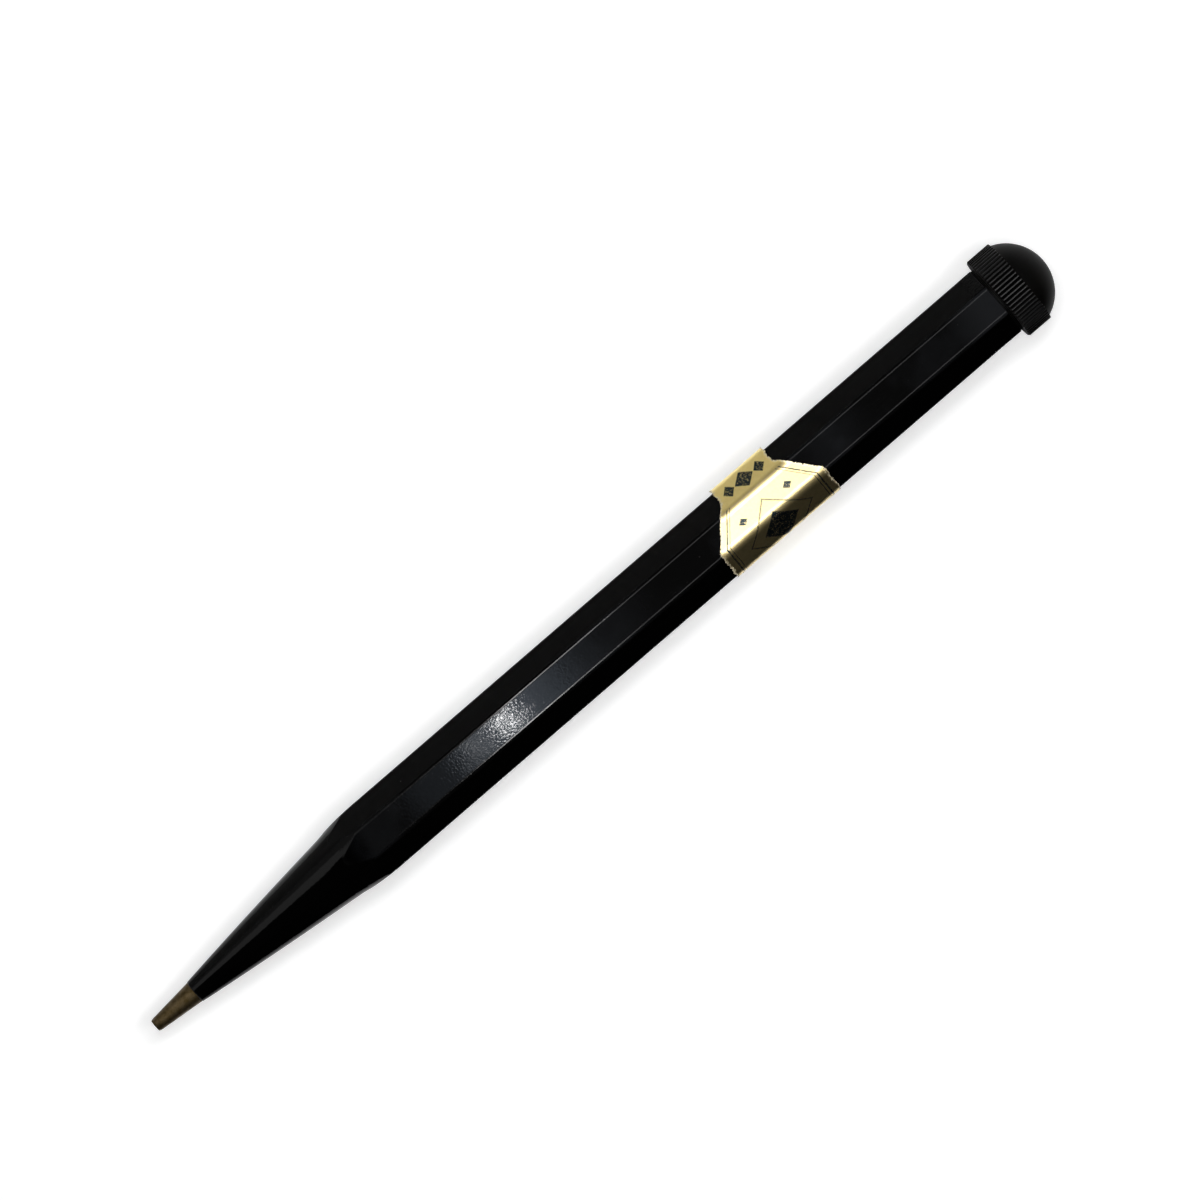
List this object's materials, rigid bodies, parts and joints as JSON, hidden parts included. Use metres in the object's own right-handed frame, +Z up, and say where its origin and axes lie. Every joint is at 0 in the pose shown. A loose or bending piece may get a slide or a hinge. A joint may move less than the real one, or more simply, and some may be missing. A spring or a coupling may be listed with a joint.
{
  "type": "clutch pencil",
  "caption": "Octagonal black mechanical pencil with a tapered front, brass nozzle, foil band and knurled end knob. Turning the knob feeds the lead; pulling it opens the spare lead magazine.",
  "frame": {"origin": "middle of the bounding box in X and Y, at the lowest point of the knob's rim", "axes": "+X along the pencil from the nozzle to the knob; +Z up, square to the facet that faces the viewer in the picture; the foil badge is on the facet between +Z and -Y"},
  "size_m": [0.1344, 0.011, 0.0111],
  "materials": {
    "barrel_black": "satin-gloss black with a faint orange-peel surface",
    "knob_black": "matte black, slightly warm",
    "dull_brass": "dull, oxidised",
    "brass": "drawn tube, satin",
    "gold_foil": "printed gold foil, worn at its edges",
    "steel": "drawn wire and stamped strip",
    "graphite": "graphite, faint sheen"
  },
  "bodies": {
    "holder": {"barrel": "barrel_black", "nozzle": "dull_brass", "label_band": "gold_foil", "rear_bushing": "brass", "drag_washer": "steel", "front_thrust_washer": "steel", "guide_bush": "brass", "guide_tube": "brass"},
    "drive": {"drive_tube": "brass", "drive_collar": "brass", "magazine_floor": "brass", "spare_lead_1": "graphite", "spare_lead_2": "graphite", "spare_lead_3": "graphite"},
    "cap": {"knob": "knob_black", "knob_plug": "brass"},
    "feed": {"lead_carrier": "brass", "follower_pin": "steel", "push_rod": "steel", "lead_clutch": "brass", "lead": "graphite"}
  },
  "joints": [
    {"name": "knob_turn", "type": "hinge", "parent": "holder", "child": "drive", "pos_m": [0, 0, 0.00555], "axis": [-1, 0, 0], "range_deg": [0, 2160]},
    {"name": "knob_pull", "type": "slide", "parent": "drive", "child": "cap", "axis": [1, 0, 0], "range_m": [0, 0.012]},
    {"name": "lead_feed", "type": "slide", "parent": "holder", "child": "feed", "axis": [-1, 0, 0], "range_m": [0, 0.03]}
  ],
  "couplings": [
    {"joint": "lead_feed", "follows": "knob_turn", "m_per_rad": 0.00079577}
  ]
}
